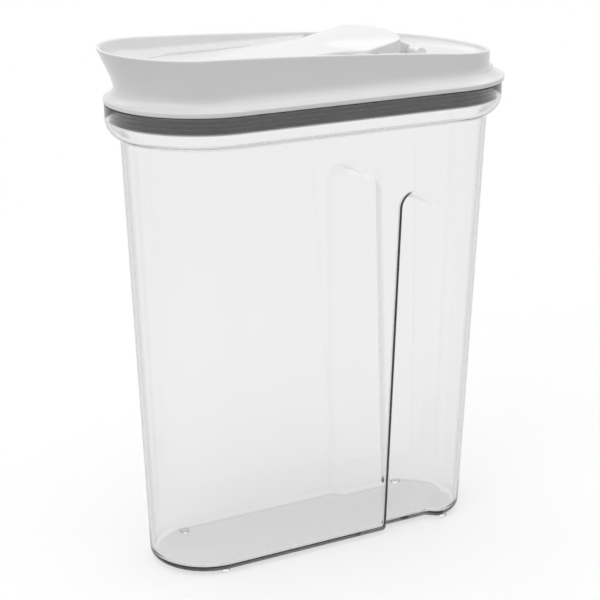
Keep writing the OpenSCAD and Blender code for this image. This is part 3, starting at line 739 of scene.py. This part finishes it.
class MESH_OT_container_lid(bpy.types.Operator):
    """Builds the white lid: flange, cove, wall, rim, deck, wells, door seat, chute and hinge bar"""
    bl_idname = "mesh.container_lid"
    bl_label = "Build the lid"

    def execute(self, context):
        s = context.scene.lid_sizes
        d = context.scene.door_sizes
        columns = loop_columns(ladder(0, 1, 70), 64)
        bottom = s.base + s.edge
        rings = []

        def add(place, h):
            """One more ring: its plan and its heights."""
            rings.append(stack(*place, h)[None])

        def ring(h, inset=0.0):
            """The lid's plan at the height h, moved in by the inset."""
            return lid_ring(s, columns, h, inset)

        def level(h, inset=0.0):
            """The lid's plan at one height all round."""
            return ring(np.full(columns[0].shape, h), inset)

        def between(start, end, t):
            """A share t of the way from one plan to another."""
            return start[0] + (end[0] - start[0]) * t, start[1] + (end[1] - start[1]) * t

        # Flange and cove, each ring level.
        brim = bottom + 0.0004
        edge = rounded([(SKIRT, s.base), (s.flange_half, s.base), (s.flange_half, brim),
                        (s.flange_half - 0.0016, brim)], [0, 0.0008, 0.0008, 0], steps=6)
        for w, h in edge[1:-1]:
            add(level(min(h, bottom), s.flange_half - w), h)
        for h in (bottom + 0.0007, *np.linspace(bottom + 0.0012, bottom + LEVEL_END, 13)):
            add(level(h), h)
        # The wall, each ring a share of the way up to the sloping rim.
        start = bottom + LEVEL_END
        round_r = s.wall / 2
        # The rim's plan and its height depend on each other, and settle in a few rounds.
        place = level(s.rim)
        for _ in range(4):
            place = ring(rim_height(s, place[0]))
        rim = rim_height(s, place[0])
        top = rim - round_r
        for t in (0.12, 0.25, 0.4, 0.55, 0.7, 0.82, 0.9, 0.96, 1.0):
            h = start + (top - start) * t
            add(ring(h), h)
        for turn in np.radians(np.linspace(0, 180, 11)[1:-1]):
            h = top + round_r * math.sin(turn)
            add(ring(h, round_r * (1 - math.cos(turn))), h)
        # The inner wall, down to its rounded foot on the deck or in the well.
        place = level(s.deck, s.wall + 0.003)
        for _ in range(3):
            floor = deck_height(s, place[0])
            own = place[0] - MIDDLE
            wide = FOOT_ROUND + (s.well_round - FOOT_ROUND) * smooth((own - WIDE_START) / WIDE_RUN)
            wide = wide + TIP_ROUND * smooth((-own - TIP_START) / WIDE_RUN)
            tall = np.minimum(wide, np.maximum(top - floor - 0.0004, 0.0008))
            place = ring(floor, s.wall + wide)
        for t in (0.0, 0.1, 0.3, 0.6, 0.9):
            h = top + (floor + tall - top) * t
            add(ring(h, s.wall), h)
        for turn in np.radians(np.linspace(0, 90, 12)):
            h = floor + tall * (1 - math.sin(turn))
            foot = ring(h, s.wall + wide * (1 - math.cos(turn)))
            add(foot, h)

        def seat(grow):
            """The plan of the door's seat: round in front and nearly square at the back."""
            x, y = plan(columns, -d.front, s.tray_half + grow, SEAT_BACK, SEAT_REACH + grow,
                        s.tray_half + grow, 2.0, SEAT_POWER)
            return x + MIDDLE, y

        # The deck, from the wall's foot in to the edge of the door's seat, and down to the ledge.
        brink = seat(0.0006)
        for t in (0.03, 0.08, 0.16, 0.25, 0.34, 0.43, 0.52, 0.61, 0.70, 0.78, 0.85, 0.91, 0.96,
                  1.0):
            place = between(foot, brink, t)
            add(place, deck_height(s, place[0]))
        lip = deck_height(s, brink[0])
        for grow, t in ((0.0003, 0.02), (0.0001, 0.06), (0.0, 0.16), (0.0, 0.84), (-0.0001, 0.94),
                        (-0.0004, 1.0)):
            add(seat(grow), lip + (s.ledge - lip) * t)
        # The ledge, the chute's inside, its lip and its outside.
        for t in (0.0, 0.2, 0.4, 0.6, 0.8, 1.0):
            add(between(seat(-0.0008), pour_mouth(s, columns, 0.0008), t), s.ledge)
        low = s.ledge - s.chute
        chute = rounded([(0.0008, s.ledge), (0, s.ledge), (0, low), (0.002, low),
                         (0.002, s.ledge - 0.004), (0.004, s.ledge - 0.0032)],
                        [0, 0.0005, 0.0004, 0.0004, 0.0008, 0], steps=5)
        for grow, h in chute[1:]:
            add(pour_mouth(s, columns, grow), h)
        # The hidden underside, back out to the flange.
        under = seat(0.0028)
        add(under, np.minimum(s.ledge, deck_height(s, under[0])) - 0.0028)
        place = between(foot, under, 0.5)
        add(place, deck_height(s, place[0]) - SKIN)
        add(level(UNDER_TURN, 0.0055), np.minimum(UNDER_TURN, deck_height(s, foot[0]) - SKIN))
        add(level(bottom, 0.0082), bottom)
        add(level(bottom, s.flange_half - SKIRT), s.base + 0.0006)
        for w in (SKIRT, 0.048, 0.0505, 0.0525):
            add(level(bottom, s.flange_half - w), s.base)
        shell = np.concatenate(rings)
        # The hinge bar: two rounded bars, each on a low block that stands on the well's floor.
        r = d.bar
        outline = np.concatenate([arc((d.hinge_x, d.hinge_z), r, -28, 208, 24),
                                  [(d.hinge_x - r + 0.0006, d.hinge_z - 0.003),
                                   (d.hinge_x - r, BAR_FOOT), (d.hinge_x + r, BAR_FOOT),
                                   (d.hinge_x + r - 0.0006, d.hinge_z - 0.003)]])
        inner = d.arm_place + d.arm + 0.0004
        bars = [(bar_grid(outline, start, end, 0.0005), False)
                for start, end in ((-d.bar_half, -inner), (inner, d.bar_half))]
        add_piece("lid", [(shell, True), *bars], "lid",
                  material(context, "white_moulded_plastic"), ["lid_shell"])
        return {"FINISHED"}


def bar_grid(outline, start, end, edge):
    """A closed outline in x and z carried along Y. Near each end it shrinks along its own normals
    by edge (1 - sin a) while Y runs edge (1 - cos a), which rounds the rim, and then to its
    middle."""
    ahead = np.roll(outline, -1, axis=0) - np.roll(outline, 1, axis=0)
    ahead /= np.linalg.norm(ahead, axis=1)[:, None]
    out = np.stack([ahead[:, 1], -ahead[:, 0]], -1)
    a = np.radians(np.linspace(0, 90, 6))
    run, shrink = edge * (1 - np.cos(a)), edge * (1 - np.sin(a))
    places = np.concatenate([start + run, (end - run)[::-1]])
    insets = np.concatenate([shrink, shrink[::-1]])
    rows = outline[None] - out[None] * insets[:, None, None]
    middle = outline.mean(0)
    inner = np.stack([middle + (rows[0] - middle) * t for t in (0.0, 0.5, 0.9)])
    rows = np.concatenate([inner, rows, inner[::-1]])
    places = np.concatenate([[start] * 3, places, [end] * 3])
    grid = stack(rows[..., 0] + MIDDLE, places[:, None], rows[..., 1])
    return grid[:, ::-1]


# ---------------------------------------------------------------- the door

# Where the straight sides end, and how square the back's corners are.
SIDE_END, BACK_POWER = 0.020, 14.0
# Where the widening of the thumb rest begins, and its run.
FLARE_START, FLARE_RUN = 0.004, 0.018
# Where the bow of the back face begins to show, and its run.
BOW_START, BOW_RUN = 0.015, 0.03
# The flat part thickens from THICK_START over THICK_RUN, and its crown grows from CROWN_START.
THICK_START, THICK_RUN = -0.054, 0.060
CROWN_START, CROWN_RUN = -0.10, 0.11
# The rest's side edge starts at REST_START and rolls off after ROLL_START, by ROLL per metre.
REST_START, ROLL_START, ROLL = 0.019, 0.036, 6.2
# Rise of the rest's middle over its side edges at the front, how much of it is lost, and where.
REST_CROWN, CROWN_LOSS, LOSS_START, LOSS_RUN = 0.0038, 0.0026, 0.014, 0.036
# Height over which the crease between the flat part and the rest is rounded.
CREASE = 0.0005
# Radii of the rounded upper and lower rims of the door.
UPPER_RIM, LOWER_RIM = 0.0007, 0.0004
# The widened part stands over the deck: its lift, its inner edge and where it ends.
WING_LIFT, WING_EDGE, WING_END = 0.0026, 0.0246, 0.0265
# The hollow under the thumb rest: its ends, its half width and the run of its sides.
HOLLOW_START, HOLLOW_END, HOLLOW_HALF = 0.014, 0.038, 0.0175
HOLLOW_RUN, HOLLOW_SIDE = 0.003, 0.0025
# How far each hinge arm runs under the rest, and its height there and at the rest's back.
ARM_ROOT, ARM_TOP, ARM_CREST = 0.010, 0.3056, 0.3068


class MESH_OT_container_door(bpy.types.Operator):
    """Builds the flip door with its thumb rest and hinge arms"""
    bl_idname = "mesh.container_door"
    bl_label = "Build the door"

    def execute(self, context):
        d = context.scene.door_sizes
        columns = loop_columns(ladder(0, 1, 110), 64)
        slope = (d.foot_thick - d.front_thick) / THICK_RUN
        low, rows = d.underside, []

        def flare(x):
            """Half width over the front's half width: the thumb rest is the wider part."""
            return 1 + (d.rest_half / d.half - 1) * smooth((x - FLARE_START) / FLARE_RUN)

        def ring(inset):
            """The door's plan moved in by the inset, widened along the thumb rest; its back face is
            bowed about the middle."""
            x, y = plan(columns, -d.front, d.half - inset, SIDE_END, d.back - SIDE_END - inset,
                        d.half - inset, 2.0, BACK_POWER)
            y = y * flare(x)
            bow = d.bow - np.sqrt(d.bow ** 2 - y * y)
            return x - bow * smooth((x - BOW_START) / BOW_RUN), y

        def top(x, y, inset):
            """Height of the upper face. The flat part slopes up and is crowned, c (1 - (y/half)^2);
            the thumb rest's side edges rise faster than its middle, so its crown runs out towards
            the back. Less the rounding of the rim, R - sqrt(R^2 - (R - inset)^2)."""
            bulge = 1 - (y / (d.half * flare(x))) ** 2
            edge = low + d.front_thick + np.maximum(x - THICK_START, 0) * slope
            flat = edge + d.crown * smooth((x - CROWN_START) / CROWN_RUN) * bulge
            roll = np.maximum(x - ROLL_START, 0)
            side = d.rest_edge + (x - REST_START) * d.rest_slope - ROLL * roll ** 2
            rise = REST_CROWN - CROWN_LOSS * smooth((x - LOSS_START) / LOSS_RUN)
            face = soft_max(flat, np.minimum(side + rise * bulge, CAD_TOP - 0.0001), CREASE)
            fall = np.maximum(UPPER_RIM - inset, 0)
            return face - (UPPER_RIM - np.sqrt(np.maximum(UPPER_RIM ** 2 - fall ** 2, 0)))

        def sill(x, y):
            """The underside's height: flat, and lifted over the deck where the rest is widened."""
            wing = smooth((np.abs(y) - WING_EDGE) / 0.0004)
            return low + WING_LIFT * wing * (1 - smooth((x - WING_END) / 0.003))

        def under(x, y, inset):
            """The underside with a hollow under the thumb rest."""
            hollow = (smooth((x - HOLLOW_START) / HOLLOW_RUN)
                      * (1 - smooth((x - HOLLOW_END) / HOLLOW_RUN))
                      * (1 - smooth((np.abs(y) - HOLLOW_HALF) / HOLLOW_SIDE)))
            ceiling = top(x, y, 1.0) - SKIN
            return sill(x, y) + np.maximum(ceiling - low, 0) * hollow

        def add(inset, height):
            """One more ring: its plan, and its heights from a function of its places."""
            x, y = ring(inset)
            rows.append(stack(x + MIDDLE, y, height(x, y, inset))[None])

        deep = np.array([1.0, 0.93, 0.86, 0.79, 0.72, 0.65, 0.58, 0.51, 0.44, 0.37, 0.30, 0.24,
                         0.19, 0.15, 0.115, 0.085, 0.06, 0.04]) * d.half
        for inset in deep:
            add(inset, under)
        for turn in np.radians(np.linspace(90, 0, 5)):
            lift = LOWER_RIM * (1 - math.sin(turn))
            add(LOWER_RIM * (1 - math.cos(turn)), lambda x, y, i: sill(x, y) + lift)
        for t in (0.25, 0.5, 0.75):
            add(0.0, lambda x, y, i: (sill(x, y) + LOWER_RIM) * (1 - t) + top(x, y, 0.0) * t)
        fine = UPPER_RIM * (1 - np.cos(np.radians(np.linspace(0, 90, 7))))
        for inset in np.concatenate([fine, deep[::-1]]):
            add(inset, top)
        grids = [(np.concatenate(rows), False)]
        # Each arm: a plate from the rest's back corner down to the eye around the hinge.
        root = d.back - ARM_ROOT
        outline = np.concatenate([[(root, low + 0.0002), (root, ARM_TOP),
                                   (d.back - 0.0012, ARM_CREST)],
                                  arc((d.hinge_x, d.hinge_z), d.eye, 66, -120, 26)])[::-1]
        for side in (-1, 1):
            ends = sorted((side * d.arm_place, side * (d.arm_place + d.arm)))
            grids.append((bar_grid(outline, ends[0], ends[1], 0.0006), False))
        add_piece("door", grids, "door", material(context, "white_moulded_plastic"),
                  ["flip_door"])
        return {"FINISHED"}


# ---------------------------------------------------------------- seals and liners

# The liner's wall, inside the seal: its outer half width, the lip that carries the seal, its
# inner side, where its floor begins, and its thickness there.
LINER_HALF = 0.0476
LINER_LIP = LINER_HALF + 0.002
LINER_INNER = LINER_HALF - 0.0024
LINER_FLOOR = LINER_HALF - 0.010
LINER_SKIN = 0.002


class MESH_OT_container_seals(bpy.types.Operator):
    """Builds the ribbed seal and the liner, and finishes the door's liner and seal"""
    bl_idname = "mesh.container_seals"
    bl_label = "Build the seals and liners"

    def execute(self, context):
        s = context.scene.seal_sizes
        lid = context.scene.lid_sizes
        columns = loop_columns(ladder(0, 1, 40), 64)

        def around(section):
            """A section carried around the long rounded plan, one ring for each of its points."""
            w = section[:, :1]
            x, y = plan(columns, -END_CENTRE, w, END_CENTRE, w, w)
            return stack(x + MIDDLE, y, section[:, 1:2])

        # The seal: its ribs evenly up its height, each with rounded corners.
        low, high = SEAL_LOW.z, SEAL_HIGH.z
        root = s.half - s.rib_depth
        back = root - s.depth
        pitch = (high - low - s.rib) / (s.ribs - 1)
        corners, radii = [(back, high), (back, low)], [0.0002, 0.0002]
        for i in range(s.ribs):
            foot = low + i * pitch
            corners += [(s.half, foot), (s.half, foot + s.rib)]
            radii += [0.00035, 0.00035]
            if i < s.ribs - 1:
                corners += [(root, foot + s.rib), (root, foot + pitch)]
                radii += [0.0003, 0.0003]
        section = rounded(corners, radii, steps=5, closed=True)
        rubber = material(context, "grey_seal_silicone")
        add_piece("lid_ribbed_seal", [(around(section), True)], "lid", rubber,
                  ["lid_seal"])
        # The liner: the section of its wall, and its floor in to the chute.
        low, high = LINER_LOW.z, LINER_HIGH.z
        groove = SEAL_LOW.z - 0.0002
        wall = rounded([(LINER_FLOOR, low), (LINER_LIP, low), (LINER_LIP, groove),
                        (LINER_HALF, groove), (LINER_HALF, high), (LINER_INNER, high),
                        (LINER_INNER, low + LINER_SKIN), (LINER_FLOOR, low + LINER_SKIN)],
                       [0, 0.0004, 0.0003, 0.0002, 0.0003, 0.0003, 0.0015, 0], steps=5)
        chute_top = lid.ledge - lid.chute - 0.0002
        chute = rounded([(0.004, low + LINER_SKIN), (LINER_SKIN, low + LINER_SKIN),
                         (LINER_SKIN, chute_top), (0, chute_top), (0, low), (0.004, low)],
                        [0, 0.0006, 0.0004, 0.0004, 0.0006, 0], steps=4)
        rings = [around(wall)]
        for grow, h in chute:
            rings.append(stack(*pour_mouth(lid, columns, grow), h)[None])
        white = material(context, "white_liner_plastic")
        add_piece("lid_white_liner", [(np.concatenate(rings), True)], "lid", white,
                  ["lid_liner"])
        for node, finish in (("door_liner", white), ("door_seal", rubber)):
            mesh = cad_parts[node].data
            mesh.materials.clear()
            mesh.materials.append(finish)
        return {"FINISHED"}


# ---------------------------------------------------------------- stage

# Studio: where the softbox stands and looks, its size and its tone.
LAMP_PLACE, LAMP_TARGET = (-1.1, -0.5, 1.1), (0, 0, 0.3)
LAMP_SIZE, LAMP_TONE = (1.0, 0.8), (1.0, 0.985, 0.96)
# Rise of a direction, as the sine of its angle, at which gloss meets the mirrored softbox.
PANEL_START, PANEL_END = 0.40, 0.52
# Distances between which the floor goes over to plain white.
FLOOR_NEAR, FLOOR_FAR = 0.25, 1.0
CAMERA_PLACE = (-0.4925, -0.8585, 0.4653)
CAMERA_DOWN, CAMERA_ROUND = 17.65, 29.59


def aim(obj, target):
    """Turns the object so that its -Z axis points at the target."""
    direction = np.asarray(target, float) - np.asarray(obj.location, float)
    flat = math.hypot(direction[0], direction[1])
    obj.rotation_euler = (math.atan2(flat, -direction[2]), 0.0,
                          math.atan2(direction[1], direction[0]) - math.pi / 2)


def area_light(name, location, target, size, power, tone):
    """A rectangular lamp, aimed at the target."""
    lamp = bpy.data.lights.new(name, "AREA")
    lamp.shape = "RECTANGLE"
    lamp.size, lamp.size_y = size
    lamp.energy = power
    lamp.color = tone
    obj = bpy.data.objects.new(name, lamp)
    obj.location = location
    bpy.context.scene.collection.objects.link(obj)
    aim(obj, target)


def looking(tree):
    """1 on rays from the camera, off gloss or through the plastic, and 0 on the rest; and
    whether the ray comes off gloss."""
    rays = tree.nodes.new("ShaderNodeLightPath").outputs
    gloss = rays["Is Glossy Ray"]
    indirect = calc(tree, "MAXIMUM", gloss, rays["Is Transmission Ray"])
    return calc(tree, "MAXIMUM", rays["Is Camera Ray"], indirect), gloss


class SCENE_OT_container_stage(bpy.types.Operator):
    """Builds the floor, the soft studio light and the camera"""
    bl_idname = "scene.container_stage"
    bl_label = "Build the stage"

    def execute(self, context):
        s = context.scene.stage_settings
        scene = context.scene
        scene.view_settings.view_transform = "Standard"
        # Floor: a disc of rings, x = r cos a and y = r sin a.
        radius = np.array([0.0, 0.5, 1.5, 4.0, 12.0])[:, None]
        turn = np.radians(np.arange(64) * 360.0 / 64)
        grid = stack(radius * np.cos(turn), radius * np.sin(turn), -0.0002)
        rows, cols = grid.shape[:2]
        faces = grid_faces(rows, cols)[:, ::-1]
        mesh = bpy.data.meshes.new("floor")
        mesh.from_pydata(grid.reshape(-1, 3).tolist(), [], faces.tolist())
        mesh.validate()
        floor = bpy.data.objects.new("floor", mesh)
        scene.collection.objects.link(floor)
        mat, tree, shader = new_material("floor_white", tuple(s.floor), 0.9)
        shader.inputs["Specular IOR Level"].default_value = 0.0
        seen, _ = looking(tree)
        where = tree.nodes.new("ShaderNodeTexCoord")
        reach = tree.nodes.new("ShaderNodeVectorMath")
        reach.operation = "LENGTH"
        tree.links.new(where.outputs["Object"], reach.inputs[0])
        far = span(tree, reach.outputs["Value"], 0.0, 1.0, FLOOR_NEAR, FLOOR_FAR, soft=True)
        shader.inputs["Emission Color"].default_value = (1, 1, 1, 1)
        lift = calc(tree, "MULTIPLY", seen, s.lift)
        tree.links.new(lift, shader.inputs["Emission Strength"])
        plain = tree.nodes.new("ShaderNodeEmission")
        mix = tree.nodes.new("ShaderNodeMixShader")
        tree.links.new(calc(tree, "MULTIPLY", seen, far), mix.inputs[0])
        tree.links.new(shader.outputs[0], mix.inputs[1])
        tree.links.new(plain.outputs[0], mix.inputs[2])
        tree.links.new(mix.outputs[0], tree.nodes["Material Output"].inputs["Surface"])
        mesh.materials.append(mat)
        # The room: soft light, and plain white where it is seen directly or through the plastic.
        world = bpy.data.worlds.new("room")
        scene.world = world
        world.use_nodes = True
        room = world.node_tree
        room.nodes.clear()
        out = room.nodes.new("ShaderNodeOutputWorld")
        # Brighter overhead than near the horizon: low + (high - low) (z of the direction)^2.
        way = room.nodes.new("ShaderNodeTexCoord")
        split = room.nodes.new("ShaderNodeSeparateXYZ")
        room.links.new(way.outputs["Generated"], split.inputs[0])
        height = split.outputs["Z"]
        rise = span(room, calc(room, "MULTIPLY", height, height), s.sky_low, s.sky_high)
        # Glossy faces mirror a large softbox overhead, whose lower edge is 24 degrees up.
        direct, gloss = looking(room)
        panel = span(room, height, 0.0, s.panel - 1.0, PANEL_START, PANEL_END, soft=True)
        mirrored = calc(room, "MULTIPLY_ADD", panel, gloss, 1.0)
        mix = room.nodes.new("ShaderNodeMixShader")
        room.links.new(direct, mix.inputs[0])
        for strength, socket in ((rise, mix.inputs[1]), (mirrored, mix.inputs[2])):
            light = room.nodes.new("ShaderNodeBackground")
            light.inputs["Color"].default_value = (1, 1, 1, 1)
            room.links.new(strength, light.inputs["Strength"])
            room.links.new(light.outputs[0], socket)
        room.links.new(mix.outputs[0], out.inputs["Surface"])
        area_light("softbox_spout_side", LAMP_PLACE, LAMP_TARGET, LAMP_SIZE, s.key, LAMP_TONE)
        cam = bpy.data.cameras.new("camera")
        cam.lens = s.lens
        cam.sensor_width = 36.0
        cam.clip_start, cam.clip_end = 0.05, 50.0
        obj = bpy.data.objects.new("camera", cam)
        obj.location = CAMERA_PLACE
        obj.rotation_euler = (math.radians(90 - CAMERA_DOWN), 0.0, math.radians(-CAMERA_ROUND))
        scene.collection.objects.link(obj)
        scene.camera = obj
        return {"FINISHED"}


# ---------------------------------------------------------------- panel and registration

class VIEW3D_PT_container(bpy.types.Panel):
    """Lists the building steps, and every size, finish and stage setting"""
    bl_label = "Cereal container"
    bl_idname = "VIEW3D_PT_container"
    bl_space_type = "VIEW_3D"
    bl_region_type = "UI"
    bl_category = "Container"

    def draw(self, context):
        layout = self.layout
        for operator in OPERATORS:
            layout.operator(operator.bl_idname)
        for group in GROUPS:
            settings = getattr(context.scene, group)
            box = layout.box()
            box.label(text=group.replace("_", " ").capitalize())
            for key in settings.__annotations__:
                box.prop(settings, key)


GROUPS = {
    "container_sizes": ContainerSizes,
    "lid_sizes": LidSizes,
    "door_sizes": DoorSizes,
    "seal_sizes": SealSizes,
    "container_finishes": Finishes,
    "stage_settings": StageSettings,
}
OPERATORS = (MESH_OT_container_body, MESH_OT_container_lid, MESH_OT_container_door,
             MESH_OT_container_seals, SCENE_OT_container_stage)
CLASSES = (*GROUPS.values(), *OPERATORS, VIEW3D_PT_container)


def register():
    """Registers the classes and hangs each group of settings on the scene."""
    for cls in CLASSES:
        bpy.utils.register_class(cls)
    for name, group in GROUPS.items():
        setattr(bpy.types.Scene, name, PointerProperty(type=group))


def unregister():
    """Undoes register."""
    for name in GROUPS:
        delattr(bpy.types.Scene, name)
    for cls in reversed(CLASSES):
        bpy.utils.unregister_class(cls)


def main():
    """Builds every piece and the stage."""
    register()
    bpy.ops.mesh.container_body()
    bpy.ops.mesh.container_lid()
    bpy.ops.mesh.container_door()
    bpy.ops.mesh.container_seals()
    bpy.ops.scene.container_stage()


if __name__ == "__main__":
    main()
